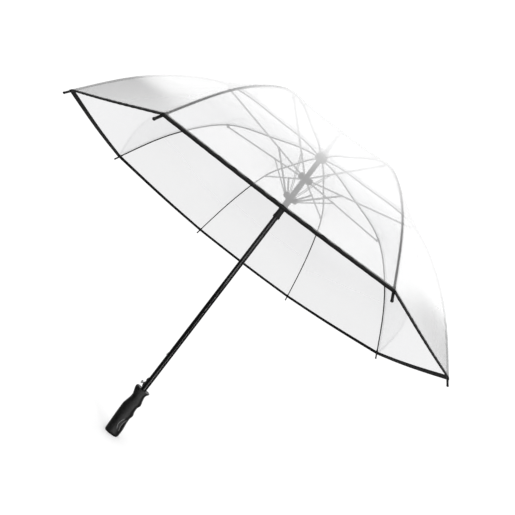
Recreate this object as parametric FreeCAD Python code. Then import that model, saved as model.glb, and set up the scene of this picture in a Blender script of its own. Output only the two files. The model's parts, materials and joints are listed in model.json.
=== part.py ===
"""Large clear dome umbrella, shown open: eight folding ribs on a sliding two-hub frame.

Millimetres, +Z up the shaft towards the ferrule, origin at the middle of the handle's flat end.
Ribs stand at azimuths 22.5 + 45 k degrees; the thumb horn, catch and push button face -X.
"""

import os

import FreeCAD
import Part
from math import cos, pi, sin, sqrt

V = FreeCAD.Vector
os.makedirs("parts", exist_ok=True)

# Shaft and handle
SHAFT_R = 8.0
SHAFT_WALL = 1.0
SHAFT_BOTTOM = 12.0
SHAFT_TOP = 984.0
END_CAP_T = 4.0

# Frame pivots, given as (radius, height) in the plane of a rib
RIBS = 8
FIRST_AZIMUTH = 22.5
TOP_PIVOT = (15.0, 967.0)
ELBOW_PIVOT = (331.0, 913.0)
MIDDLE_PIVOT = (21.0, 888.0)
RUNNER_PIVOT = (21.0, 814.0)
LINK_ALONG_STRETCHER = 0.325

# Centreline of one sprung rib from the top hub to the rim
RIB_CURVE = [(15.0, 967.0), (60.0, 968.0), (168.0, 953.5), (331.5, 920.0), (432.0, 850.0),
             (510.0, 766.0), (564.0, 687.0), (600.0, 628.0)]
ROD_R = 1.8
KNUCKLE_PAST_ELBOW = 6.0
TIP_R = 2.5
TIP_BEFORE_RIM = 15.0
TIP_PAST_RIM = 16.0

# Linkage sections
BAR_T = 3.4
BAR_HALF_H = 1.8
EYE_R = 3.0
PIN_R = 1.0
PIN_GAP = 0.05
CHEEK_T = 0.8
CHEEK_GAP = 0.2

# Hubs
HUB_CORE_R = 10.9
TEETH_R = 24.2
HUB_CHEEK_T = 1.3
SLOT_W = 7.0
SLIDE_GAP = 0.08
SLEEVE_R = 10.0
SLEEVE_BOTTOM = 740.0
COLLAR_R = 11.0
COLLAR_H = 8.0
CROWN_LOW, CROWN_TOP = 808.5, 820.0
MIDDLE_LOW, MIDDLE_TOP = 882.0, 893.5
TOP_HUB_LOW, TOP_HUB_TOP = 957.0, 975.0
TOP_TEETH_R = 18.6
TOP_SLOT_W = 4.4
RING_R = 0.8

# Main spring between the two sliding hubs
SPRING_R = 9.6
SPRING_WIRE_R = 0.9
SPRING_TURNS = 9

# Catch and push button
RUNNER_TRAVEL = 507.4
BUTTON_Z = 151.0
KNOB_X, KNOB_T = -19.8, 5.2
LEVER_PIN_X, LEVER_PIN_Z = -4.2, 105.0
TOOTH_LOW, TOOTH_TOP = 247.5, 257.5

# Cover
FILM_T = 0.5
FILM_OFF_RIB = 2.9
FILM_EDGE_R = 9.4
BINDING_W = 9.0
BINDING_T = 0.6
SEAM_HALF_GAP = 0.02
FERRULE_TOP = 1056.0
SPIKE_R = 5.2
SPIKE_STRAIGHT = 1030.0


def save(name, shape):
    """Write one piece as its own file."""
    shape.exportStep("parts/%s.step" % name)


def tube(r_out, r_in, z0, z1):
    body = Part.makeCylinder(r_out, z1 - z0, V(0, 0, z0))
    return body.cut(Part.makeCylinder(r_in, z1 - z0 + 2, V(0, 0, z0 - 1)))


def block(x0, x1, y0, y1, z0, z1):
    return Part.makeBox(x1 - x0, y1 - y0, z1 - z0, V(x0, y0, z0))


def turned(points):
    """Solid of revolution about Z from a closed (radius, height) outline."""
    wire = Part.makePolygon([V(r, 0, z) for r, z in points] + [V(points[0][0], 0, points[0][1])])
    return Part.Face(wire).revolve(V(0, 0, 0), V(0, 0, 1), 360)


def to_azimuth(shape, index):
    """Copy of a shape built in the XZ plane, turned to the azimuth of rib number index."""
    out = shape.copy()
    out.rotate(V(0, 0, 0), V(0, 0, 1), FIRST_AZIMUTH + 360.0 / RIBS * index)
    return out


# ---- flat linkage pieces, all drawn in the XZ plane with thickness along Y ----

def plate_disc(centre, radius, y0, y1):
    return Part.makeCylinder(radius, y1 - y0, V(centre[0], y0, centre[1]), V(0, 1, 0))


def plate_bar(start, end, low, high, y0, y1):
    """Bar from start to end, reaching low and high of the line on its left-hand side."""
    length = sqrt((end[0] - start[0]) ** 2 + (end[1] - start[1]) ** 2)
    ux, uz = (end[0] - start[0]) / length, (end[1] - start[1]) / length
    corners = [(0, low), (length, low), (length, high), (0, high)]
    pts = [V(start[0] + a * ux - b * uz, y0, start[1] + a * uz + b * ux) for a, b in corners]
    return Part.Face(Part.makePolygon(pts + [pts[0]])).extrude(V(0, y1 - y0, 0))


def along(start, end, distance):
    length = sqrt((end[0] - start[0]) ** 2 + (end[1] - start[1]) ** 2)
    return (start[0] + (end[0] - start[0]) * distance / length,
            start[1] + (end[1] - start[1]) * distance / length)


def both_sides(make, near, far):
    """A pair of matching plates either side of the rib plane."""
    return [make(near, far), make(-far, -near)]


def fused(shapes):
    out = shapes[0].multiFuse(shapes[1:]) if len(shapes) > 1 else shapes[0]
    return out.removeSplitter()


# ---- rib centreline ----

def rib_spline():
    curve = Part.BSplineCurve()
    curve.interpolate([V(r, 0, z) for r, z in RIB_CURVE])
    return curve


SPLINE = rib_spline()
ELBOW_T = SPLINE.parameter(V(ELBOW_PIVOT[0] + 1.0, 0, ELBOW_PIVOT[1] + 7.0))
KNUCKLE_T = SPLINE.parameterAtDistance(KNUCKLE_PAST_ELBOW, ELBOW_T)
KNUCKLE = SPLINE.value(KNUCKLE_T)
RIM = SPLINE.value(SPLINE.LastParameter)
RIM_TANGENT = SPLINE.tangent(SPLINE.LastParameter)[0]


def rod(t0, t1, radius):
    """Round rod along a stretch of the rib centreline."""
    path = SPLINE.copy()
    path.segment(t0, t1)
    start = path.value(path.FirstParameter)
    direction = path.tangent(path.FirstParameter)[0]
    ring = Part.Wire(Part.makeCircle(radius, start, direction))
    return Part.Wire(path.toShape()).makePipeShell([ring], True, False)


def offset_curve(distance, r_min, t_end):
    """Points at a constant distance outside the rib centreline, from radius r_min out."""
    count = 30
    t_start = SPLINE.parameter(V(r_min, 0, 968))
    out = []
    for i in range(count + 1):
        t = t_start + (t_end - t_start) * i / count
        p, d = SPLINE.value(t), SPLINE.tangent(t)[0]
        out.append(V(p.x - d.z * distance, 0, p.z + d.x * distance))
    return out


def inner_rib():
    """Inner rib: eye at the top hub, lug for the stretcher, forked knuckle at the outer end."""
    t_start = SPLINE.parameterAtDistance(2.0, SPLINE.FirstParameter)
    t_end = SPLINE.parameterAtDistance(-3.2, KNUCKLE_T)
    t_fork = SPLINE.parameterAtDistance(-8.0, KNUCKLE_T)
    elbow_rod = SPLINE.value(ELBOW_T)
    fork_root = SPLINE.value(t_fork)
    knuckle = (KNUCKLE.x, KNUCKLE.z)
    pieces = [rod(t_start, t_end, ROD_R), plate_disc(TOP_PIVOT, 3.2, -BAR_T / 2, BAR_T / 2)]
    pieces.append(plate_disc(ELBOW_PIVOT, EYE_R, -1.65, 1.65))
    pieces.append(plate_bar(ELBOW_PIVOT, (elbow_rod.x - 0.6, elbow_rod.z), -2.4, 2.4, -1.65, 1.65))
    pieces += both_sides(lambda a, b: plate_disc(knuckle, 2.6, a, b), 0.95, 1.8)
    pieces += both_sides(lambda a, b: plate_bar((fork_root.x, fork_root.z), knuckle, -2.2, 2.2, a, b),
                         0.95, 1.8)
    pieces.append(plate_disc(knuckle, 0.9, -1.0, 1.0))
    body = fused(pieces)
    body = body.cut(plate_disc(TOP_PIVOT, RING_R + 0.2, -4, 4))
    return body.cut(plate_disc(ELBOW_PIVOT, PIN_R + PIN_GAP, -4, 4))


def outer_rib():
    """Outer rib rod with the tongue of the knuckle, and the moulded tip on its end."""
    t_start = SPLINE.parameterAtDistance(3.2, KNUCKLE_T)
    t_root = SPLINE.parameterAtDistance(8.0, KNUCKLE_T)
    root = SPLINE.value(t_root)
    knuckle = (KNUCKLE.x, KNUCKLE.z)
    shank = rod(t_start, SPLINE.LastParameter, ROD_R)
    tongue = [plate_disc(knuckle, 2.4, -0.9, 0.9),
              plate_bar(knuckle, (root.x, root.z), -1.7, 1.7, -0.9, 0.9)]
    body = fused([shank] + tongue).cut(plate_disc(knuckle, 0.95, -4, 4))
    neck = SPLINE.parameterAtDistance(-TIP_BEFORE_RIM, SPLINE.LastParameter)
    collar = rod(neck, SPLINE.LastParameter, TIP_R)
    nose = Part.makeCylinder(TIP_R, TIP_PAST_RIM - TIP_R, RIM, RIM_TANGENT)
    bead = Part.makeSphere(TIP_R + 0.4, RIM + RIM_TANGENT * (TIP_PAST_RIM - TIP_R - 0.4))
    tip = fused([collar, nose, bead]).cut(shank)
    return Part.makeCompound([body, tip])


LINK_OUTER = (MIDDLE_PIVOT[0] + (ELBOW_PIVOT[0] - MIDDLE_PIVOT[0]) * LINK_ALONG_STRETCHER,
              MIDDLE_PIVOT[1] + (ELBOW_PIVOT[1] - MIDDLE_PIVOT[1]) * LINK_ALONG_STRETCHER)


def stretcher():
    """Long stretcher: fork and pin at the rib, hole for the link, eye at the middle hub."""
    half = BAR_T / 2
    near = 1.65 + 0.1
    bar_start = along(ELBOW_PIVOT, MIDDLE_PIVOT, 5.5)
    fork_end = along(ELBOW_PIVOT, MIDDLE_PIVOT, 15.0)
    pieces = [plate_bar(bar_start, MIDDLE_PIVOT, -BAR_HALF_H, BAR_HALF_H, -half, half)]
    pieces.append(plate_disc(MIDDLE_PIVOT, EYE_R - 0.2, -half, half))
    pieces.append(plate_disc(LINK_OUTER, EYE_R - 0.2, -half, half))
    pieces += both_sides(lambda a, b: plate_disc(ELBOW_PIVOT, EYE_R, a, b), near, near + CHEEK_T)
    pieces += both_sides(
        lambda a, b: plate_bar(ELBOW_PIVOT, fork_end, -BAR_HALF_H, BAR_HALF_H, a, b),
        half, near + CHEEK_T)
    pieces.append(plate_disc(ELBOW_PIVOT, PIN_R, -near, near))
    body = fused(pieces)
    gap = plate_bar(along(ELBOW_PIVOT, MIDDLE_PIVOT, -4), bar_start, -4, 4, -near, near)
    body = body.cut(gap.cut(plate_disc(ELBOW_PIVOT, PIN_R, -near, near)))
    body = body.cut(plate_disc(LINK_OUTER, PIN_R + PIN_GAP, -4, 4))
    return body.cut(plate_disc(MIDDLE_PIVOT, PIN_R, -4, 4))


def link():
    """Short link: two flat strips either side of the stretcher, held together by their two rivets."""
    near = BAR_T / 2 + CHEEK_GAP
    far = near + CHEEK_T
    pieces = []
    for centre in (LINK_OUTER, RUNNER_PIVOT):
        pieces += both_sides(lambda a, b: plate_disc(centre, EYE_R - 0.2, a, b), near, far)
        pieces.append(plate_disc(centre, PIN_R, -far, far))
    pieces += both_sides(
        lambda a, b: plate_bar(LINK_OUTER, RUNNER_PIVOT, -BAR_HALF_H, BAR_HALF_H, a, b),
        near, far)
    return fused(pieces)


# ---- hubs ----

def turned_about(shape, degrees):
    copy = shape.copy()
    copy.rotate(V(0, 0, 0), V(0, 0, 1), degrees)
    return copy


def slots(width, r0, r1, z0, z1):
    cutter = block(r0, r1, -width / 2, width / 2, z0 - 1, z1 + 1)
    return [to_azimuth(cutter, i) for i in range(RIBS)]


def toothed_hub(bore, core_r, teeth_r, slot_w, z0, z1):
    """Ring of teeth with one open slot per rib, each tooth hollowed out from its rim."""
    body = tube(teeth_r, bore, z0, z1)
    edges = [e for e in body.Edges if abs(e.BoundBox.XMax - teeth_r) < 0.01 and e.BoundBox.ZLength < 0.01]
    body = body.makeFillet(1.2, edges)
    for cutter in slots(slot_w, core_r, teeth_r + 1, z0, z1):
        body = body.cut(cutter)
    half = pi / RIBS
    apex = (slot_w / 2 + HUB_CHEEK_T) / sin(half)
    reach = 2 * teeth_r
    if apex < teeth_r - 2:
        points = [V(apex, 0, z0 - 1), V(apex + reach * cos(half), reach * sin(half), z0 - 1),
                  V(apex + reach * cos(half), -reach * sin(half), z0 - 1)]
        wedge = Part.Face(Part.makePolygon(points + [points[0]])).extrude(V(0, 0, z1 - z0 + 2))
        for i in range(RIBS):
            body = body.cut(turned_about(wedge, FIRST_AZIMUTH + 360 / RIBS * (i + 0.5)))
    return body


def top_notch():
    body = toothed_hub(SHAFT_R, HUB_CORE_R, TOP_TEETH_R, TOP_SLOT_W, 961, 973)
    body = body.fuse(tube(HUB_CORE_R, SHAFT_R, TOP_HUB_LOW, TOP_HUB_TOP)).removeSplitter()
    groove = Part.makeTorus(TOP_PIVOT[0], RING_R + 0.05, V(0, 0, TOP_PIVOT[1]))
    return body.cut(groove)


def middle_notch():
    return toothed_hub(SHAFT_R + SLIDE_GAP, HUB_CORE_R, TEETH_R, SLOT_W, MIDDLE_LOW, MIDDLE_TOP)


def runner():
    """Sliding runner: slotted crown, long sleeve, and the window that takes the catch tooth."""
    bore = SHAFT_R + SLIDE_GAP
    body = toothed_hub(bore, HUB_CORE_R, TEETH_R, SLOT_W, CROWN_LOW, CROWN_TOP)
    body = body.fuse(tube(SLEEVE_R, bore, SLEEVE_BOTTOM + 1, CROWN_LOW + 1)).removeSplitter()
    window = block(-SLEEVE_R - 1, -4, -3.2, 3.2,
                   TOOTH_LOW + RUNNER_TRAVEL - 0.5, TOOTH_TOP + RUNNER_TRAVEL + 0.5)
    return body.cut(window)


def runner_collar():
    low, high = SLEEVE_BOTTOM, SLEEVE_BOTTOM + COLLAR_H
    bore = SHAFT_R + SLIDE_GAP
    return turned([(SLEEVE_R, low + 1), (bore, low + 1), (bore, low), (COLLAR_R - 0.6, low),
                   (COLLAR_R, low + 0.6), (COLLAR_R, high - 0.6), (COLLAR_R - 0.6, high),
                   (SLEEVE_R, high)])


def main_spring():
    low = CROWN_TOP + 0.2 + SPRING_WIRE_R
    high = MIDDLE_LOW - 0.2 - SPRING_WIRE_R
    helix = Part.makeHelix((high - low) / SPRING_TURNS, high - low, SPRING_R)
    ring = Part.Wire(Part.makeCircle(SPRING_WIRE_R, V(SPRING_R, 0, 0), V(0, 1, 0)))
    coil = Part.Wire(helix).makePipeShell([ring], True, True)
    coil.translate(V(0, 0, low))
    return coil


# ---- shaft, handle and catch ----

def shaft_tube():
    body = tube(SHAFT_R, SHAFT_R - SHAFT_WALL, SHAFT_BOTTOM, SHAFT_TOP)
    body = body.cut(Part.makeCylinder(2.1, 6, V(-10, 0, BUTTON_Z), V(1, 0, 0)))
    body = body.cut(block(-10, -4, -2.8, 2.8, TOOTH_LOW - 1.5, TOOTH_TOP + 1.5))
    body = body.cut(Part.makeCylinder(1.0, 30, V(LEVER_PIN_X, -15, LEVER_PIN_Z), V(0, 1, 0)))
    return body.cut(Part.makeCylinder(1.2, 30, V(-15, 0, MIDDLE_TOP + 1.4), V(1, 0, 0)))


def stop_pin():
    return Part.makeCylinder(1.2, 19.6, V(-9.8, 0, MIDDLE_TOP + 1.4), V(1, 0, 0))


def lever_pin():
    return Part.makeCylinder(1.0, 12.0, V(LEVER_PIN_X, -6.0, LEVER_PIN_Z), V(0, 1, 0))


def catch_lever():
    """Sprung strip inside the shaft: eye at its foot, tooth at its head."""
    pivot = (LEVER_PIN_X, LEVER_PIN_Z)
    strip = block(-5.9, -5.1, -2.5, 2.5, LEVER_PIN_Z, TOOTH_TOP + 0.8)
    eye = plate_disc(pivot, 2.0, -2.5, 2.5)
    tooth_pts = [(-5.2, TOOTH_LOW), (-10.2, TOOTH_LOW), (-10.2, TOOTH_LOW + 3), (-7.4, TOOTH_TOP),
                 (-5.2, TOOTH_TOP)]
    wire = Part.makePolygon([V(x, -2.5, z) for x, z in tooth_pts + [tooth_pts[0]]])
    tooth = Part.Face(wire).extrude(V(0, 5, 0))
    body = fused([strip, eye, tooth])
    return body.cut(plate_disc(pivot, PIN_R + PIN_GAP, -4, 4))


def catch_bracket():
    """Ramp and guide block fixed to the shaft just above the handle, bored for the button stem."""
    outline = [(-6, 141), (-9.4, 142.5), (-11.6, 147), (-11.6, 155), (-9.2, 156.5), (-9.0, 159),
               (-10.8, 162.5), (-11.0, 166), (-6, 175)]
    wire = Part.makePolygon([V(x, -4.5, z) for x, z in outline + [outline[0]]])
    body = Part.Face(wire).extrude(V(0, 9, 0))
    body = body.cut(Part.makeCylinder(SHAFT_R, 60, V(0, 0, 130)))
    return body.cut(Part.makeCylinder(2.1, 12, V(-15, 0, BUTTON_Z), V(1, 0, 0)))


def push_button():
    stem = Part.makeCylinder(2.0, 9.6, V(-15.6, 0, BUTTON_Z), V(1, 0, 0))
    knob = Part.makeCylinder(4.2, KNOB_T, V(KNOB_X, 0, BUTTON_Z), V(1, 0, 0))
    knob = knob.makeFillet(1.6, [e for e in knob.Edges if abs(e.BoundBox.XMax - KNOB_X) < 0.01])
    return knob.fuse(stem).removeSplitter()


# Grip stations: height, left (thumb) side, right (finger) side, half depth front to back
GRIP_STATIONS = [
    (4.0, -20.8, 21.6, 16.0), (15.0, -21.4, 22.0, 16.5), (32.0, -22.4, 20.0, 16.5),
    (50.0, -23.2, 18.4, 16.5), (66.0, -23.6, 20.8, 16.5), (84.0, -23.2, 17.0, 16.0),
    (99.0, -20.0, 20.8, 15.5), (114.0, -17.4, 16.4, 15.0), (122.0, -18.2, 15.4, 14.5),
    (130.0, -21.2, 17.8, 14.0), (138.0, -23.8, 20.4, 13.5),
]


def oval(z, left, right, half_depth):
    """Closed smooth section of the grip at one height."""
    curve = Part.BSplineCurve()
    count = 16
    middle, half = (left + right) / 2, (right - left) / 2
    pts = []
    for i in range(count):
        a = 2 * pi * i / count
        c, s = cos(a), sin(a)
        pts.append(V(middle + half * abs(c) ** 0.85 * (1 if c > 0 else -1),
                     half_depth * abs(s) ** 0.85 * (1 if s > 0 else -1), z))
    curve.interpolate(pts, PeriodicFlag=True)
    return Part.Wire(curve.toShape())


def handle_grip():
    body = Part.makeLoft([oval(*s) for s in GRIP_STATIONS], True, False)
    saddle = Part.makeCylinder(26, 60, V(1.5, -30, 157), V(0, 1, 0))
    body = body.cut(saddle)
    body = body.cut(Part.makeCylinder(SHAFT_R, 200, V(0, 0, SHAFT_BOTTOM)))
    return body.cut(Part.makeCylinder(6.0, 30, V(0, 0, -5)))


def grip_end_cap():
    z, left, right, depth = GRIP_STATIONS[0]
    low = oval(0.0, left + 1.2, right - 1.2, depth - 1.2)
    high = oval(END_CAP_T, left, right, depth)
    plate = Part.makeLoft([low, high], True, True)
    return plate.fuse(Part.makeCylinder(6.0, 7, V(0, 0, END_CAP_T - 0.5))).removeSplitter()


# ---- top end ----

def top_cap():
    """Domed washer that clamps the middle of the cover down on the top hub."""
    return turned([(SHAFT_R, 978.4), (16.6, 977.6), (17.2, 978.3), (15.6, 980.6), (12.0, 982.8),
                   (SHAFT_R, 984.0)])


def ferrule():
    plug = Part.makeCylinder(SHAFT_R - SHAFT_WALL, 30, V(0, 0, SHAFT_TOP - 30))
    flange = Part.makeCone(10.5, 7.0, 5, V(0, 0, SHAFT_TOP))
    spike = Part.makeCone(6.2, SPIKE_R, SPIKE_STRAIGHT - SHAFT_TOP - 4, V(0, 0, SHAFT_TOP + 4))
    spike = spike.fuse(Part.makeCylinder(SPIKE_R, FERRULE_TOP - SPIKE_STRAIGHT, V(0, 0, SPIKE_STRAIGHT)))
    rims = [e for e in spike.Edges if abs(e.BoundBox.ZMin - FERRULE_TOP) < 0.01]
    return fused([plug, flange, spike.makeFillet(1.6, rims)])


# ---- cover ----

def strip_wire(outer, inner, azimuth):
    """Closed thin outline between two curves, stood up in the plane at one azimuth."""
    a, b = Part.BSplineCurve(), Part.BSplineCurve()
    a.interpolate(outer)
    b.interpolate(inner)
    edges = [a.toShape(), Part.makeLine(outer[-1], inner[-1]), b.toShape(),
             Part.makeLine(inner[0], outer[0])]
    wire = Part.Wire(Part.__sortEdges__(edges))
    wire.rotate(V(0, 0, 0), V(0, 0, 1), azimuth)
    return wire


def film_profile(extra):
    """Section of the cover: over the top hub, then a constant distance outside the rib."""
    start = [V(FILM_EDGE_R, 0, 977.2 + extra), V(24.0, 0, 975.8 + extra)]
    return start + offset_curve(FILM_OFF_RIB + extra, 62.0, SPLINE.LastParameter)


def gore(outer, inner, index):
    """One panel: straight from seam to seam, between two neighbouring ribs."""
    start = FIRST_AZIMUTH + 360.0 / RIBS * index + SEAM_HALF_GAP
    end = start + 360.0 / RIBS - 2 * SEAM_HALF_GAP
    return Part.makeLoft([strip_wire(outer, inner, start), strip_wire(outer, inner, end)], True, True)


def canopy_panel(index):
    return gore(film_profile(FILM_T), film_profile(0.0), index)


def rim_binding():
    """Black tape lying on the outside of the cover along its eight straight edges."""
    off = FILM_OFF_RIB + FILM_T + 0.05
    t0 = SPLINE.parameterAtDistance(-BINDING_W, SPLINE.LastParameter)
    t1 = SPLINE.LastParameter
    count = 4
    rows = []
    for extra in (BINDING_T, 0.0):
        row = []
        for i in range(count + 1):
            t = t0 + (t1 - t0) * i / count
            p, d = SPLINE.value(t), SPLINE.tangent(t)[0]
            row.append(V(p.x - d.z * (off + extra), 0, p.z + d.x * (off + extra)))
        rows.append(row)
    return Part.makeCompound([gore(rows[0], rows[1], i) for i in range(RIBS)])


def main():
    save("shaft_tube", shaft_tube())
    save("handle_grip", handle_grip())
    save("grip_end_cap", grip_end_cap())
    save("catch_bracket", catch_bracket())
    save("catch_lever", catch_lever())
    save("lever_pin", lever_pin())
    save("push_button", push_button())
    save("stop_pin", stop_pin())
    save("runner", runner())
    save("runner_collar", runner_collar())
    save("middle_notch", middle_notch())
    save("main_spring", main_spring())
    save("top_notch", top_notch())
    save("top_notch_ring", Part.makeTorus(TOP_PIVOT[0], RING_R, V(0, 0, TOP_PIVOT[1])))
    save("top_cap", top_cap())
    save("ferrule", ferrule())
    save("rim_binding", rim_binding())
    shapes = {"rib_inner": inner_rib(), "rib_outer": outer_rib(), "stretcher": stretcher(),
              "link": link()}
    for index in range(RIBS):
        for name, shape in shapes.items():
            save("%s_%d" % (name, index + 1), to_azimuth(shape, index))
        save("canopy_panel_%d" % (index + 1), canopy_panel(index))


main()
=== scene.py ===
"""Looks for the clear dome umbrella: film cover, edge tape, grip, spring and finishes over the CAD frame."""

import json
import math

import bpy
import numpy as np
from mathutils import Matrix, Vector

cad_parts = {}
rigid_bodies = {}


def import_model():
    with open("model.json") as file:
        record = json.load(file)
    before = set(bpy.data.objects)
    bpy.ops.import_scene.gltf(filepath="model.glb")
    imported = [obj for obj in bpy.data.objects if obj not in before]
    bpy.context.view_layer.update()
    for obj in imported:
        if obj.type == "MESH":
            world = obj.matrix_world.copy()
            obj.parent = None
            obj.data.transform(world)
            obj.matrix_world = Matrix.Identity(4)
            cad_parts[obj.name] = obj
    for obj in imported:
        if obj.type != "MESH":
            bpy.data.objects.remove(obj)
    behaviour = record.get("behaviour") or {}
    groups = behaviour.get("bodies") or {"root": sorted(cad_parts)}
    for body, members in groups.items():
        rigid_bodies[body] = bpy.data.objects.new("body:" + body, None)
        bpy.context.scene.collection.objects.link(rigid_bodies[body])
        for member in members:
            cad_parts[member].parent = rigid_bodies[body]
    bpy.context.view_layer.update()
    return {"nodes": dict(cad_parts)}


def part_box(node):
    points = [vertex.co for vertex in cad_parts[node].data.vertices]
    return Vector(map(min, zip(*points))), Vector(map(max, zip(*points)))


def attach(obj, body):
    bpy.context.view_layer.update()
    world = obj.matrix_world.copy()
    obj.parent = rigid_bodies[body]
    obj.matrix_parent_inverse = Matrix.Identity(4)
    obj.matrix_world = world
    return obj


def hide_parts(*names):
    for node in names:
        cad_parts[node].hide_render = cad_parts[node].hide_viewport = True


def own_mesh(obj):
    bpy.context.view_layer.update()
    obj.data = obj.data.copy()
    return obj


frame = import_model()
NODES = frame["nodes"]
RIBS = 8
FIRST_AZIMUTH = math.radians(22.5)

# ------------------------------------------------------------------ materials


class Graph:
    """A node tree built line by line: g("Kind", input=value or socket) returns the node."""

    def __init__(self, name):
        self.material = bpy.data.materials.new(name)
        self.material.use_nodes = True
        self.tree = self.material.node_tree
        self.tree.nodes.clear()

    def __call__(self, kind, props=None, **inputs):
        n = self.tree.nodes.new("ShaderNode" + kind)
        for key, value in (props or {}).items():
            setattr(n, key, value)
        for key, value in inputs.items():
            self.put(n, key, value)
        return n

    def put(self, n, key, value):
        if key.startswith("i") and key[1:].isdigit():
            socket = n.inputs[int(key[1:])]
        else:
            socket = n.inputs[key.replace("_", " ")]
        if isinstance(value, bpy.types.NodeSocket):
            self.tree.links.new(value, socket)
        else:
            socket.default_value = value

    def math(self, operation, a, b=0.0, c=0.0):
        return self("Math", {"operation": operation}, i0=a, i1=b, i2=c).outputs[0]

    def mix(self, factor, a, b):
        return self("MixShader", i0=factor, i1=a, i2=b).outputs[0]

    def out(self, surface):
        self("OutputMaterial", Surface=surface)
        return self.material


def grey(value, tint=0.0):
    return (value, value, value * (1 + tint), 1)


def coords(g, scale):
    """Place on the piece, stretched by scale."""
    return g("Mapping", Vector=g("TexCoord").outputs["Object"], Scale=scale).outputs[0]


def ramp(g, value, stops):
    n = g("ValToRGB", i0=value)
    elements = n.color_ramp.elements
    while len(elements) < len(stops):
        elements.new(0.5)
    for e, (position, colour) in zip(elements, stops):
        e.position, e.color = position, colour
    return n.outputs[0]


def finish_material(name, dark, light, scale, rough, grain, bump, metallic=0.0, coat=0.0,
                    stretch=(1, 1, 1), specular=0.3):
    """Coloured by soft mottling, with varied roughness and a fine surface grain."""
    g = Graph(name)
    place = coords(g, stretch)
    soft = g("TexNoise", Vector=place, Scale=scale, Detail=5.0, Roughness=0.6).outputs[0]
    colour = ramp(g, soft, [(0.3, dark), (0.7, light)])
    fine = g("TexNoise", Vector=place, Scale=grain, Detail=3.0).outputs[0]
    roughness = g("MapRange", Value=fine, To_Min=rough[0], To_Max=rough[1]).outputs[0]
    normal = g("Bump", Strength=bump, Distance=0.0003, Height=fine).outputs[0]
    p = g("BsdfPrincipled", Base_Color=colour, Roughness=roughness, Metallic=metallic,
          Coat_Weight=coat, Coat_Roughness=0.08, Normal=normal,
          Specular_IOR_Level=specular)
    return g.out(p.outputs[0])


SEAM_HALF_W, SEAM_BLUR = 0.0024, 0.0003      # strip of film welded along each rib
SEAM_TINT = 0.6
CLEARNESS = (0.815, 0.785)                   # share of light let straight through, streak to streak
CLEARER_BY_SEAM = 0.085                      # where the film is drawn tight along a rib
TIGHT_FROM, TIGHT_TO = 0.003, 0.008
CROWN_VEIL = 0.14                            # extra milkiness of the cover's upper part
VEIL_LOW, VEIL_HIGH = 0.69, 0.85
LEAST_FACING, LEAST_VEIL_FACING = 0.1, 0.36
# The inner skin gets a darker veil and a darker see-through tint than the outer skin: painted shade for the
# underside of the cover
OUTER_TONE, INNER_PAINTED_SHADE_TONE, INNER_PAINTED_SHADE_TINT = 0.99, 0.68, 0.89
GLOSS_FLAT, GLOSS_SLANT, GLOSS_MOST = 0.05, 1.1, 0.8


def film_material():
    """Clear flexible film: a milky veil that thickens at a slant, over a see-through sheet, with painted
    shade on the inner skin.
    """
    g = Graph("clear_film")
    geometry = g("NewGeometry")
    facing = g("VectorMath", {"operation": "DOT_PRODUCT"}, i0=geometry.outputs["Normal"],
               i1=geometry.outputs["Incoming"]).outputs["Value"]
    facing = g.math("MAXIMUM", g.math("ABSOLUTE", facing), LEAST_FACING)
    seam = g("Attribute", {"attribute_name": "seam_m"}).outputs["Fac"]
    weld = g("MapRange", Value=seam, From_Min=SEAM_HALF_W - SEAM_BLUR, From_Max=SEAM_HALF_W + SEAM_BLUR,
             To_Min=SEAM_TINT, To_Max=1.0)
    touch = g("MapRange", Value=seam, From_Min=TIGHT_FROM, From_Max=TIGHT_TO,
              To_Min=CLEARER_BY_SEAM, To_Max=0.0)
    streaks = g("TexNoise", Vector=coords(g, (1, 1, 0.4)), Scale=5.0, Detail=2.0).outputs[0]
    streaks = g("MapRange", Value=streaks, To_Min=CLEARNESS[0], To_Max=CLEARNESS[1]).outputs[0]
    height = g("SeparateXYZ", i0=g("TexCoord").outputs["Object"]).outputs[2]
    upper = g("MapRange", {"interpolation_type": "SMOOTHSTEP"}, Value=height, From_Min=VEIL_LOW,
              From_Max=VEIL_HIGH, To_Min=0.0, To_Max=CROWN_VEIL).outputs[0]
    clear = g.math("SUBTRACT", g.math("ADD", streaks, touch.outputs[0]), upper)
    through_film = g.math("DIVIDE", 1.0, g.math("MAXIMUM", facing, LEAST_VEIL_FACING))
    clear = g.math("POWER", clear, through_film)
    inner = g("Attribute", {"attribute_name": "inner_skin"}).outputs["Fac"]
    # Painted shade: the veil is darker on the inner skin than on the outer skin
    tone = ramp(g, inner, [(0.0, grey(OUTER_TONE)), (1.0, grey(INNER_PAINTED_SHADE_TONE, 0.02))])
    veil = g.mix(0.5, g("BsdfDiffuse", Color=tone).outputs[0],
                 g("BsdfTranslucent", Color=tone).outputs[0])
    tint = g("CombineColor", i0=weld.outputs[0], i1=weld.outputs[0], i2=weld.outputs[0]).outputs[0]
    # Painted shade: what shows through the inner skin is darkened as well
    tint = g("Mix", {"data_type": "RGBA", "blend_type": "MULTIPLY"}, i0=inner, i6=tint,
             i7=grey(INNER_PAINTED_SHADE_TINT)).outputs[2]
    see = g("BsdfTransparent", Color=tint).outputs[0]
    sheet = g.mix(clear, veil, see)
    slant = g.math("POWER", g.math("SUBTRACT", 1.0, facing), 5.0)
    shine = g.math("MULTIPLY_ADD", slant, GLOSS_SLANT, GLOSS_FLAT)
    shine = g.math("MINIMUM", shine, GLOSS_MOST)
    sheet = g.mix(shine, sheet, g("BsdfGlossy", Color=grey(1.0), Roughness=0.07).outputs[0])
    through = g("BsdfTransparent", Color=grey(1.0)).outputs[0]
    return g.out(g.mix(geometry.outputs["Backfacing"], sheet, through))


STITCH_PITCH, STITCH_SHARE = 0.0036, 0.65
STITCH_IN, STITCH_HALF_W = 0.0022, 0.0003    # row of stitches, from the flap's free edge


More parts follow.
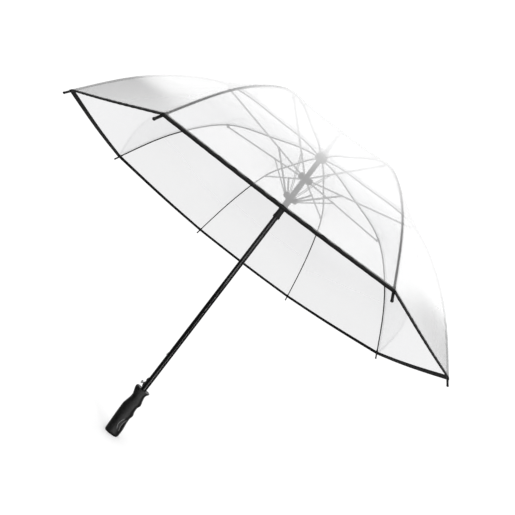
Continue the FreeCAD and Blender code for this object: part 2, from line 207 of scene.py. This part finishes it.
def tape_material():
    """Woven black binding with a single row of stitches."""
    g = Graph("woven_tape")
    uv = g("UVMap", {"uv_map": "UVMap"}).outputs[0]
    split = g("SeparateXYZ", i0=uv)
    warp = g("TexWave", {"bands_direction": "X"}, Vector=uv, Scale=900.0, Distortion=0.4).outputs[1]
    weft = g("TexWave", {"bands_direction": "Y"}, Vector=uv, Scale=700.0, Distortion=0.4).outputs[1]
    weave = g.math("MULTIPLY", warp, weft)
    stitches = g.math("FRACT", g.math("DIVIDE", split.outputs[0], STITCH_PITCH))
    dash = g.math("GREATER_THAN", stitches, 1 - STITCH_SHARE)
    from_row = g.math("ABSOLUTE", g.math("SUBTRACT", split.outputs[1], STITCH_IN))
    row = g.math("LESS_THAN", from_row, STITCH_HALF_W)
    stitch = g.math("MULTIPLY", dash, row)
    colour = ramp(g, weave, [(0.0, grey(0.002)), (1.0, grey(0.008))])
    colour = g("Mix", {"data_type": "RGBA"}, i0=stitch, i6=colour, i7=grey(0.05)).outputs[2]
    normal = g("Bump", Strength=0.5, Distance=0.0003, Height=g.math("ADD", weave, stitch)).outputs[0]
    p = g("BsdfPrincipled", Base_Color=colour, Roughness=0.7, Normal=normal, Specular_IOR_Level=0.2)
    return g.out(p.outputs[0])


SHAFT = finish_material("black_enamel", grey(0.001), grey(0.003), 30, (0.16, 0.24), 900, 0.05, coat=0.4)
PLASTIC = finish_material("black_plastic", grey(0.003), grey(0.009), 60, (0.35, 0.5), 2200, 0.25)
RUBBER = finish_material("grip_rubber", grey(0.001), grey(0.007), 110, (0.32, 0.46), 1600, 0.5,
                         specular=0.5)
# Painted highlight: a light grey finish for the grip beads, which stand in for the lit edges of a recessed
# panel
HIGHLIGHT_BEAD_FINISH = finish_material("grip_painted_highlight_bead", grey(0.10), grey(0.15), 90, (0.25, 0.35), 2000, 0.2,
                         specular=0.6)
STEEL = finish_material("spring_steel", grey(0.32), grey(0.5), 120, (0.22, 0.4), 1500, 0.2,
                        metallic=1.0, stretch=(1, 1, 6))
ROD = finish_material("rib_rod", grey(0.003), grey(0.009), 80, (0.25, 0.4), 1200, 0.2,
                      stretch=(6, 6, 1))
COATED = finish_material("coated_strip", grey(0.17), grey(0.25), 90, (0.3, 0.45), 1800, 0.3)
BUTTON = finish_material("button_plastic", grey(0.12), grey(0.20), 120, (0.2, 0.32), 2500, 0.2,
                         specular=0.6)
FILM = film_material()
TAPE = tape_material()

# ------------------------------------------------------------------ CAD finishes

FINISH = {"shaft_tube": SHAFT, "push_button": BUTTON, "top_notch_ring": STEEL, "stop_pin": STEEL,
          "lever_pin": STEEL, "catch_lever": STEEL, "rib_": ROD, "stretcher": COATED, "link": COATED}


def dress_cad():
    """Welded, edge-eased shading and a finish on every CAD piece."""
    for name, o in NODES.items():
        finish = next((m for key, m in FINISH.items() if name.startswith(key)), PLASTIC)
        o.data.materials.clear()
        o.data.materials.append(finish)
        o.data.polygons.foreach_set("use_smooth", [True] * len(o.data.polygons))
        weld = o.modifiers.new("weld", "WELD")
        weld.merge_threshold = 1e-6
        edges = o.modifiers.new("edges", "EDGE_SPLIT")
        edges.split_angle = math.radians(32)


dress_cad()

# ------------------------------------------------------------------ mesh helpers


def mesh_object(name, verts, faces, material, uvs=None, attributes=None):
    mesh = bpy.data.meshes.new(name)
    mesh.from_pydata([tuple(v) for v in verts], [], [tuple(f) for f in faces])
    mesh.polygons.foreach_set("use_smooth", [True] * len(mesh.polygons))
    if uvs is not None:
        layer = mesh.uv_layers.new(name="UVMap")
        for loop in mesh.loops:
            layer.data[loop.index].uv = uvs[loop.vertex_index]
    for key, values in (attributes or {}).items():
        a = mesh.attributes.new(key, "FLOAT", "POINT")
        a.data.foreach_set("value", np.asarray(values, np.float32))
    mesh.materials.append(material)
    mesh.validate()
    mesh.update()
    o = bpy.data.objects.new(name, mesh)
    bpy.context.scene.collection.objects.link(o)
    return o


def grid_faces(rows, columns, start=0, closed=False, flip=False):
    """Quads over a grid of rows by columns; closed joins the last column to the first."""
    faces = []
    last = columns if closed else columns - 1
    for i in range(rows - 1):
        for j in range(last):
            k = (j + 1) % columns
            a, b = start + i * columns + j, start + i * columns + k
            c, d = start + (i + 1) * columns + k, start + (i + 1) * columns + j
            faces.append((a, d, c, b) if flip else (a, b, c, d))
    return faces


def tube_mesh(name, path, radius, material, sides=12, closed=False):
    """A round wire along a path; radius is one number or one per point."""
    path = np.asarray(path, float)
    count = len(path)
    radii = np.broadcast_to(radius, (count,))
    tangents = np.gradient(path, axis=0)
    if closed:
        tangents = np.roll(path, -1, 0) - np.roll(path, 1, 0)
    tangents /= np.linalg.norm(tangents, axis=1)[:, None]
    up = np.array([0.0, 0.0, 1.0]) if abs(tangents[0][2]) < 0.9 else np.array([1.0, 0.0, 0.0])
    verts = []
    for p, t, r in zip(path, tangents, radii):
        side = np.cross(t, up)
        side /= np.linalg.norm(side)
        up = np.cross(side, t)
        for k in range(sides):
            a = 2 * math.pi * k / sides
            verts.append(p + r * (math.cos(a) * side + math.sin(a) * up))
    faces = grid_faces(count, sides, closed=True, flip=True)
    if closed:
        last = (count - 1) * sides
        faces += [(last + k, k, (k + 1) % sides, last + (k + 1) % sides) for k in range(sides)]
    else:
        faces.append(tuple(range(sides)))
        faces.append(tuple(reversed(range((count - 1) * sides, count * sides))))
    return mesh_object(name, verts, faces, material)


def spline(points):
    """Smooth curve through points, as a function of distance run along their chords."""
    p = np.asarray(points, float)
    t = np.concatenate([[0], np.cumsum(np.linalg.norm(np.diff(p, axis=0), axis=1))])
    h, n = np.diff(t), len(t)
    a, b = np.zeros((n, n)), np.zeros((n, p.shape[1]))
    a[0, 0] = a[-1, -1] = 1
    for i in range(1, n - 1):
        a[i, i - 1:i + 2] = h[i - 1], 2 * (h[i - 1] + h[i]), h[i]
        b[i] = 6 * ((p[i + 1] - p[i]) / h[i] - (p[i] - p[i - 1]) / h[i - 1])
    m = np.linalg.solve(a, b)

    def at(s):
        s = np.clip(np.atleast_1d(s), 0, t[-1])
        i = np.clip(np.searchsorted(t, s) - 1, 0, n - 2)
        u, v = ((t[i + 1] - s) / h[i])[:, None], ((s - t[i]) / h[i])[:, None]
        w = (h[i] ** 2 / 6)[:, None]
        return u * p[i] + v * p[i + 1] + w * ((u ** 3 - u) * m[i] + (v ** 3 - v) * m[i + 1])
    return at, t[-1]


def azimuth(index):
    return FIRST_AZIMUTH + index * 2 * math.pi / RIBS


def spun(rz, index):
    """(radius, height) rows turned to the azimuth of one rib, as points."""
    a = azimuth(index)
    return np.stack([rz[:, 0] * math.cos(a), rz[:, 0] * math.sin(a), rz[:, 1]], 1)


# ------------------------------------------------------------------ cover

RIB_LINE = np.array([(15.0, 967.0), (60.0, 968.0), (168.0, 953.5), (331.5, 920.0), (432.0, 850.0),
                     (510.0, 766.0), (564.0, 687.0), (600.0, 628.0)]) / 1000
FILM_OFF = 0.00315                           # film above the rib's centreline
FILM_HALF_T = 0.00012
CLAMP_EDGE = [(0.0094, 0.97745), (0.0240, 0.97605)]
CLAMP_CLEAR_R = 0.062                        # the film leaves the clamp and follows the ribs from here
SHOULDER_R, KNUCKLE_R, SPLIT_R = 0.16, 0.3374, 0.505
BELLY = 0.0045                               # how far a gore draws in between its ribs
TUG, TUG_REACH, TUG_PITCH = 0.0006, 0.022, 0.031
HEM_WAVE, HEM_REACH, HEM_PITCH = 0.0002, 0.016, 0.027
DROOP = 0.0035                               # sag of the rim between two tips


def cover_profile():
    """Section of the cover over a rib: from the clamp washer out to the rim."""
    rib, length = spline(RIB_LINE)
    s = np.linspace(0, length, 400)
    p = rib(s)
    d = np.gradient(p, axis=0)
    d /= np.linalg.norm(d, axis=1)[:, None]
    off = p + FILM_OFF * np.stack([-d[:, 1], d[:, 0]], 1)
    keep = off[off[:, 0] > CLAMP_CLEAR_R][::12]
    return spline(np.concatenate([np.array(CLAMP_EDGE), keep, off[-1:]]))


PROFILE, PROFILE_LENGTH = cover_profile()
FINE_S = np.linspace(0, PROFILE_LENGTH, 2000)
FINE_R = PROFILE(FINE_S)[:, 0]


def s_at_radius(r):
    return float(np.interp(r, FINE_R, FINE_S))


def smooth(x, a, b):
    t = np.clip((x - a) / (b - a), 0, 1)
    return t * t * (3 - 2 * t)


def cover_points(s, w, index, side):
    """Points, outward normals and distance from the rib, for profile run s and share w of the gore."""
    here = spun(PROFILE(s), index)
    there = spun(PROFILE(s), index + side)
    chord = there - here
    span = np.linalg.norm(chord, axis=1)[:, None]
    flat = here[:, None] + chord[:, None] * w[None, :, None]
    tangent = np.gradient(flat, s, axis=0)
    tangent /= np.linalg.norm(tangent, axis=2)[..., None]
    across = np.broadcast_to((chord / np.maximum(span, 1e-9))[:, None], flat.shape)
    normal = np.cross(across, tangent) * side
    normal /= np.linalg.norm(normal, axis=2)[..., None]
    flip = np.sign(normal[..., 2:3] + 0.3)
    normal *= np.where(flip == 0, 1, flip)
    rib_distance = span * w[None]
    run = (s / PROFILE_LENGTH)[:, None]
    belly = -BELLY * np.sin(math.pi * w)[None] * np.sin(math.pi * run) ** 1.5
    wide = smooth(span, 0.06, 0.16)
    tug = TUG * np.exp(-rib_distance / TUG_REACH) * np.sin(2 * math.pi * s / TUG_PITCH)[:, None] * wide
    tug = tug * smooth(rib_distance, 0.0, 0.012)
    to_rim = (PROFILE_LENGTH - s)[:, None]
    hem = HEM_WAVE * np.exp(-to_rim / HEM_REACH) * np.sin(2 * math.pi * rib_distance / HEM_PITCH)
    out = flat + normal * (belly + tug + hem)[..., None]
    droop = DROOP * np.sin(math.pi * w)[None] * smooth(run, 0.75, 1.0)
    return out + tangent * droop[..., None], normal, tangent, rib_distance


def shell(name, s, w, index, side):
    """Outer and inner skin of the film over a patch of the cover."""
    points, normal, _, distance = cover_points(s, w, index, side)
    rows, columns = points.shape[:2]
    outer = (points + normal * FILM_HALF_T).reshape(-1, 3)
    inner = (points - normal * FILM_HALF_T).reshape(-1, 3)
    count = len(outer)
    flip = side > 0
    faces = grid_faces(rows, columns, flip=flip)
    faces += grid_faces(rows, columns, start=count, flip=not flip)
    skin = [0.0] * count + [1.0] * count
    seam = np.concatenate([distance.ravel(), distance.ravel()])
    return mesh_object(name, np.concatenate([outer, inner]), faces, FILM,
                       attributes={"inner_skin": skin, "seam_m": seam})


def fold_frame(s0, s1, index, side):
    """Axis across a stretch of half gore, square to its rib, and the midpoint of that stretch of rib."""
    a, b = spun(PROFILE(np.array([s0, s1])), index)
    along = (b - a) / np.linalg.norm(b - a)
    mid = spun(PROFILE(np.linspace(s0, s1, 9)), index).mean(0)
    chord = spun(PROFILE(np.array([s1])), index + side)[0] - b
    axis = chord - along * (chord @ along)
    return axis / np.linalg.norm(axis), mid


S_KNUCKLE, S_SPLIT = s_at_radius(KNUCKLE_R), s_at_radius(SPLIT_R)
S_SHOULDER = s_at_radius(SHOULDER_R)
# Name, start, end, rows, body it rides on, and the share of its width a folded stretch would keep
STRETCHES = [("crown", 0.0, S_SHOULDER, 16, "rib_inner_%d", 0.06),
             ("inner", S_SHOULDER, S_KNUCKLE, 18, "rib_inner_%d", 0.06),
             ("outer", S_KNUCKLE, S_SPLIT, 18, "rib_outer_%d", 0.05),
             ("hem", S_SPLIT, PROFILE_LENGTH - 0.001, 18, "rib_outer_%d", 0.05)]
ACROSS = 0.5 * np.linspace(0, 1, 17) ** 1.15


def build_cover():
    for index in range(RIBS):
        for side, label in ((1, "a"), (-1, "b")):
            for part, s0, s1, rows, body, keep in STRETCHES:
                name = "film_%s_%d%s" % (part, index + 1, label)
                sheet = shell(name, np.linspace(s0, s1, rows), ACROSS, index, side)
                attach(sheet, body % (index + 1))
                axis, anchor = fold_frame(s0, s1, index, side)
                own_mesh(sheet)
                if part == "hem" and side == 1:
                    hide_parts("canopy_panel_%d" % (index + 1))


FLAP_OUT, FLAP_IN = 6.8, 9.9                 # tape either side of the rim, millimetres
TAPE_SECTION = [(-FLAP_OUT, 0.2), (-FLAP_OUT + 0.2, 0.65), (-0.4, 0.65), (0.6, 0.35), (0.6, -0.35),
                (-0.4, -0.7), (-FLAP_IN + 0.3, -0.7), (-FLAP_IN, -0.2)]


def build_tape():
    """Binding folded over the rim: one length each side of every rib, out to mid gore."""
    section = np.array(TAPE_SECTION) / 1000
    s = np.array([PROFILE_LENGTH - 0.002, PROFILE_LENGTH - 0.001, PROFILE_LENGTH])
    w = np.linspace(0, 0.5, 30)
    for index in range(RIBS):
        for side, label in ((1, "a"), (-1, "b")):
            points, normal, tangent, distance = cover_points(s, w, index, side)
            verts, uvs = [], []
            for p, n, t, d in zip(points[-1], normal[-1], tangent[-1], distance[-1]):
                for along, up in section:
                    verts.append(p + t * along + n * up)
                    uvs.append((float(d), along + (FLAP_OUT if up > 0 else FLAP_IN) / 1000))
            faces = grid_faces(len(w), len(section), closed=True, flip=side > 0)
            cap = tuple(range(len(section)))
            far = tuple(range((len(w) - 1) * len(section), len(w) * len(section)))
            faces += [cap, far[::-1]] if side < 0 else [cap[::-1], far]
            tape = mesh_object("tape_%d%s" % (index + 1, label), verts, faces, TAPE, uvs=uvs)
            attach(tape, "rib_outer_%d" % (index + 1))
            axis, anchor = fold_frame(S_SPLIT, PROFILE_LENGTH, index, side)
            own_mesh(tape)
            if index == 0 and side == 1:
                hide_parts("rim_binding")


build_cover()
build_tape()

# ------------------------------------------------------------------ spring and wire rings


SPRING_WIRE_R, SPRING_MEAN_R = 0.0009, 0.0096
SPRING_TURNS, CLOSED_TURNS = 9.5, 0.9        # closed turns lie flat at each end
RING_WIRE_R, RING_R = 0.0007, 0.021
MIDDLE_PIVOT_Z, RUNNER_PIVOT_Z = 0.888, 0.814


def build_spring():
    low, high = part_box("main_spring")
    wire, mean = SPRING_WIRE_R, SPRING_MEAN_R
    z0, z1 = low.z + wire, high.z - wire
    turns, closed, steps = SPRING_TURNS, CLOSED_TURNS, 420
    path = []
    for k in range(steps + 1):
        run = turns * (k / steps)
        pitch_share = np.clip((run - closed) / (turns - 2 * closed), 0, 1)
        ground = 2 * wire / (z1 - z0)
        z = ground * min(run, closed) + ground * max(0, run - turns + closed)
        z += (1 - 2 * ground * closed) * pitch_share
        a = 2 * math.pi * run
        path.append((mean * math.cos(a), mean * math.sin(a), z0 + (z1 - z0) * z))
    spring = tube_mesh("spring_coil", path, wire, STEEL, sides=10)
    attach(spring, "middle_notch")
    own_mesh(spring)
    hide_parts("main_spring")


def build_ring(name, body, height):
    """Wire that ties the eyes of the stretchers or links into their hub."""
    a = np.linspace(0, 2 * math.pi, 97)[:-1]
    path = np.stack([RING_R * np.cos(a), RING_R * np.sin(a), np.full(96, height)], 1)
    ring = tube_mesh(name, path, RING_WIRE_R, STEEL, sides=10, closed=True)
    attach(ring, body)


build_spring()
build_ring("middle_notch_wire", "middle_notch", MIDDLE_PIVOT_Z)
build_ring("runner_crown_wire", "runner", RUNNER_PIVOT_Z)

# ------------------------------------------------------------------ grip

# Outline of the grip in millimetres: (height, distance from the shaft's axis)
LEFT = [(0, -20.6), (10, -21.1), (31, -22.0), (56, -23.2), (80, -23.6), (92, -20.7), (102, -18.1),
        (113, -17.6), (122, -20.7), (130, -23.8), (140, -24.6)]
RIGHT = [(0, 21.8), (15, 22.1), (30, 20.4), (42, 18.6), (56, 18.3), (61, 20.0), (65.5, 20.8),
         (71, 19.0), (77, 17.1), (89, 17.1), (94, 19.4), (98, 21.1), (104, 19.4), (110, 17.4),
         (121, 15.2), (127, 16.0), (131, 18.6), (134, 21.4), (140, 22.4)]
DEPTH = [(0, 15.6), (20, 16.4), (60, 16.6), (90, 15.6), (112, 14.4), (126, 14.2), (140, 14.2)]
# Light grey beads on the faces of the grip, painted highlights for the lit edges of a recessed panel, as
# (height, distance towards the fingers)
HIGHLIGHT_BEAD_PATHS = [[(20.6, 7.4), (31.0, 2.4), (43.6, 3.6), (53.5, 9.0)],
         [(16.7, 14.6), (28.6, 11.4), (41.2, 11.2), (52.4, 14.4)]]

FINGER_SIDE, SQUARENESS, GROOVE_FOCUS = 21.6, 0.86, 1.6
GRIP_BORE, GRIP_BORE_FOOT, SADDLE_Z, HIGHLIGHT_BEAD_R = 8.05, 40.0, 136.9, 0.0008


def station(table):
    heights = np.array([h for h, _ in table], float)
    values = np.array([v for _, v in table], float)
    return lambda z: np.interp(z, heights, values)


def eased(f, z, reach=2.2):
    """A table read through a short moving average, so the outline has no corners."""
    offsets = np.linspace(-reach, reach, 9)
    weights = 1 - np.abs(offsets) / (reach * 1.2)
    return sum(wt * f(z + o) for wt, o in zip(weights, offsets)) / weights.sum()


def grip_point(z, a, inset=0.0):
    """A point of the grip's skin at height z mm and angle a round the shaft (0 is the finger side)."""
    left, right = eased(station(LEFT), z), eased(station(RIGHT), z)
    dip = max(0.0, FINGER_SIDE - right)
    c, s = math.cos(a), math.sin(a)
    half_depth = eased(station(DEPTH), z)
    x = (abs(c) ** SQUARENESS) * (FINGER_SIDE if c > 0 else left)
    y = half_depth * (abs(s) ** SQUARENESS) * (1 if s > 0 else -1)
    if c > 0:
        x -= dip * c ** GROOVE_FOCUS
    reach = math.hypot(x, y)
    k = (reach - inset) / reach
    return x * k, y * k


def brow(a):
    """Height of the grip's top edge: highest at the thumb horn, lowest at the finger flange."""
    c = math.cos(a)
    return 136.6 + 3.0 * max(0, -c) ** 1.5 - 1.3 * max(0, c) ** 2


def round_at(a):
    """Rounding of the grip's top edge: full on the thumb side, tight on the finger side."""
    return 1.5 + 2.9 * max(0, -math.cos(a))


def build_grip():
    around, bore, rings = 112, GRIP_BORE, []
    angles = [2 * math.pi * k / around for k in range(around)]
    for z, inset in ((4.02, 0.7), (4.3, 0.25), (5.0, 0.0)):
        rings.append([(*grip_point(z, a, inset), z) for a in angles])
    for u in np.linspace(0.01, 1, 92):
        ring = []
        for a in angles:
            z = 5 + (brow(a) - round_at(a) - 5) * u
            ring.append((*grip_point(z, a), z))
        rings.append(ring)
    for tilt in (0.3, 0.6, 0.9, 1.2, math.pi / 2):
        ring = []
        for a in angles:
            r = round_at(a)
            z = brow(a) - r + r * math.sin(tilt)
            ring.append((*grip_point(brow(a) - r, a, r * (1 - math.cos(tilt))), z))
        rings.append(ring)
    edge = rings[-1]
    for t in (0.12, 0.3, 0.5, 0.7, 0.88, 1.0):
        ease = t * t * (3 - 2 * t)
        ring = []
        for a, (x, y, z) in zip(angles, edge):
            bx, by = bore * math.cos(a), bore * math.sin(a)
            ring.append((x + (bx - x) * t, y + (by - y) * t, z + (SADDLE_Z - z) * ease))
        rings.append(ring)
    rings.append([(bore * math.cos(a), bore * math.sin(a), GRIP_BORE_FOOT) for a in angles])
    faces = grid_faces(len(rings), around, closed=True)
    faces.append(tuple(reversed(range(around))))
    start = (len(rings) - 1) * around
    faces.append(tuple(range(start, start + around)))
    grip = mesh_object("grip_skin", np.array(rings).reshape(-1, 3) / 1000, faces, RUBBER)
    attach(grip, "shaft")
    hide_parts("handle_grip")


def build_highlight_beads():
    """Two curved light grey beads low on each face of the grip: painted highlights standing in for the lit
    edges of a recessed panel.
    """
    for face in (1, -1):
        for row, points in enumerate(HIGHLIGHT_BEAD_PATHS):
            curve, length = spline(points)
            path = []
            for z, x in curve(np.linspace(0, length, 40)):
                angles = np.linspace(0.05, math.pi / 2, 300)
                xs = np.array([grip_point(z, a)[0] for a in angles])
                a = angles[np.argmin(np.abs(xs - x))]
                px, py = grip_point(z, a, 0.15)
                path.append((px / 1000, face * py / 1000, z / 1000))
            ends = np.minimum(np.arange(40), np.arange(40)[::-1]) / 5
            radius = HIGHLIGHT_BEAD_R * np.clip(0.3 + ends, 0.3, 1)
            bead = tube_mesh("grip_bead_%d%s" % (row + 1, "a" if face > 0 else "b"), path, radius, HIGHLIGHT_BEAD_FINISH)
            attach(bead, "shaft")


build_grip()
build_highlight_beads()

# ------------------------------------------------------------------ stage, light, camera


FLOOR_SOLID, FLOOR_END, FLOOR_GAP = 0.12, 0.75, 0.0004


def build_stage():
    """Pale floor that fades out into the white surround."""
    g = Graph("pale_floor")
    place = g("TexCoord").outputs["Object"]
    speck = g("TexNoise", Vector=place, Scale=40.0, Detail=4.0).outputs[0]
    tone = ramp(g, speck, [(0.2, grey(0.975)), (0.8, grey(0.99))])
    away = g("VectorMath", {"operation": "LENGTH"}, i0=place).outputs["Value"]
    fade = g("MapRange", {"interpolation_type": "SMOOTHSTEP"}, Value=away, From_Min=FLOOR_SOLID,
             From_Max=FLOOR_END).outputs[0]
    fade = g.math("MAXIMUM", fade, g("LightPath").outputs["Is Glossy Ray"])
    sheet = g.mix(fade, g("BsdfDiffuse", Color=tone).outputs[0], g("BsdfTransparent").outputs[0])
    corners = [(x, y, -FLOOR_GAP) for x, y in ((-1, -1), (1, -1), (1, 1), (-1, 1))]
    floor = mesh_object("floor", corners, [(0, 1, 2, 3)], g.out(sheet))


# What reflections see, by the components of their direction
CLOUD_SCALE = 3.2                            # mottling of the cards' edges
CARD_MIDDLE, CARD_EDGE, CARD_GREY = 0.035, (0.545, 0.665), 0.30
WHITE_ABOVE, BEHIND_FROM, FRONT_GREY = (0.55, 0.8), (-0.15, 0.3), 0.03
WINDOW_TOP, WINDOW_FOOT, WINDOW_STRENGTH = (-0.3, -0.14), (-0.62, -0.48), 2.6
WINDOW_X, WINDOW_SIDE = 0.22, (0.12, 0.42)
SURROUND = 1.08


def build_world():
    """White surround; reflections see a dark camera side with a low window, grey cards and white above."""
    world = bpy.data.worlds.new("studio")
    bpy.context.scene.world = world
    world.use_nodes = True
    tree = world.node_tree
    tree.nodes.clear()

    def add(kind, **values):
        n = tree.nodes.new("ShaderNode" + kind)
        for key, value in values.items():
            setattr(n, key, value)
        return n

    place = add("TexCoord")
    split = add("SeparateXYZ")
    tree.links.new(place.outputs["Generated"], split.inputs[0])

    def eased_range(socket, low, high, to_low, to_high):
        n = add("MapRange", interpolation_type="SMOOTHSTEP")
        for key, value in (("From Min", low), ("From Max", high), ("To Min", to_low), ("To Max", to_high)):
            n.inputs[key].default_value = value
        tree.links.new(socket, n.inputs["Value"])
        return n.outputs[0]

    def joined(operation, a, b):
        n = add("Math", operation=operation)
        for socket, value in zip(n.inputs, (a, b)):
            if isinstance(value, bpy.types.NodeSocket):
                tree.links.new(value, socket)
            else:
                socket.default_value = value
        return n.outputs[0]

    cloud = add("TexNoise")
    cloud.inputs["Scale"].default_value = CLOUD_SCALE
    tree.links.new(place.outputs["Generated"], cloud.inputs["Vector"])
    sideways = joined("ABSOLUTE", joined("SUBTRACT", split.outputs[0], CARD_MIDDLE), 0.0)
    sideways = joined("ADD", sideways, joined("MULTIPLY", joined("SUBTRACT", cloud.outputs[0], 0.5), 0.5))
    cards = eased_range(sideways, *CARD_EDGE, 1.0, CARD_GREY)
    cards = joined("MAXIMUM", cards, eased_range(split.outputs[2], *WHITE_ABOVE, 0.0, 1.0))
    behind = eased_range(split.outputs[1], *BEHIND_FROM, 0.0, 1.0)
    below = joined("MULTIPLY", eased_range(split.outputs[2], *WINDOW_TOP, WINDOW_STRENGTH, 0.0),
                   eased_range(split.outputs[2], *WINDOW_FOOT, 0.0, 1.0))
    offside = joined("ABSOLUTE", joined("SUBTRACT", split.outputs[0], WINDOW_X), 0.0)
    below = joined("MULTIPLY", below, eased_range(offside, *WINDOW_SIDE, 1.0, 0.0))
    front = joined("MULTIPLY", joined("ADD", below, FRONT_GREY), joined("SUBTRACT", 1.0, behind))
    both = joined("ADD", joined("MULTIPLY", cards, behind), front)
    mirrored, soft = add("Background"), add("Background")
    tree.links.new(both, mirrored.inputs["Strength"])
    for n in (mirrored, soft):
        n.inputs["Color"].default_value = (1, 1, 1, 1)
    soft.inputs["Strength"].default_value = SURROUND
    path, mix, out = add("LightPath"), add("MixShader"), add("OutputWorld")
    tree.links.new(path.outputs["Is Glossy Ray"], mix.inputs[0])
    tree.links.new(soft.outputs[0], mix.inputs[1])
    tree.links.new(mirrored.outputs[0], mix.inputs[2])
    tree.links.new(mix.outputs[0], out.inputs[0])


def receivers(name, film):
    """The film panels, or everything else, as a group for the lamps to shine on."""
    group = bpy.data.collections.new(name)
    for o in bpy.data.objects:
        if o.type == "MESH" and o.name.startswith("film_") == film:
            group.objects.link(o)
    return group


def area_light(name, position, target, size, power, group, mirrored):
    data = bpy.data.lights.new(name, "AREA")
    data.shape, data.size, data.size_y, data.energy = "RECTANGLE", size[0], size[1], power
    o = bpy.data.objects.new(name, data)
    bpy.context.scene.collection.objects.link(o)
    o.location = position
    o.rotation_mode = "QUATERNION"
    o.rotation_quaternion = (Vector(target) - Vector(position)).to_track_quat("-Z", "Y")
    o.light_linking.receiver_collection = group
    o.visible_glossy = mirrored


def build_camera():
    """Low three-quarter view looking in under the cover, rolled so the shaft leans as it is held."""
    data = bpy.data.cameras.new("camera")
    data.lens, data.sensor_width = 29.443, 36.0
    data.clip_start, data.clip_end = 0.01, 50
    camera = bpy.data.objects.new("camera", data)
    bpy.context.scene.collection.objects.link(camera)
    right = Vector((0.79472, -0.08191, 0.60143))
    up = Vector((-0.60696, -0.09829, 0.78863))
    back = right.cross(up)
    turn = Matrix((right, up, back)).transposed().to_4x4()
    camera.matrix_world = Matrix.Translation((0.0217, -1.19907, 0.46054)) @ turn
    bpy.context.scene.camera = camera


build_stage()
build_world()
for label, film in (("frame", False), ("film", True)):
    group = receivers("lit_" + label, film)
    area_light("strip_" + label, (1.7, -2.3, 0.8), (0, 0, 0.6), (0.16, 3.0), 22, group, not film)
    area_light("front_" + label, (0.1, -2.4, 1.0), (0, 0, 0.3), (0.7, 0.9), 14, group, not film)
build_camera()

scene = bpy.context.scene
scene.view_settings.view_transform = "Standard"
scene.cycles.transparent_max_bounces = 48
scene.cycles.max_bounces = 16
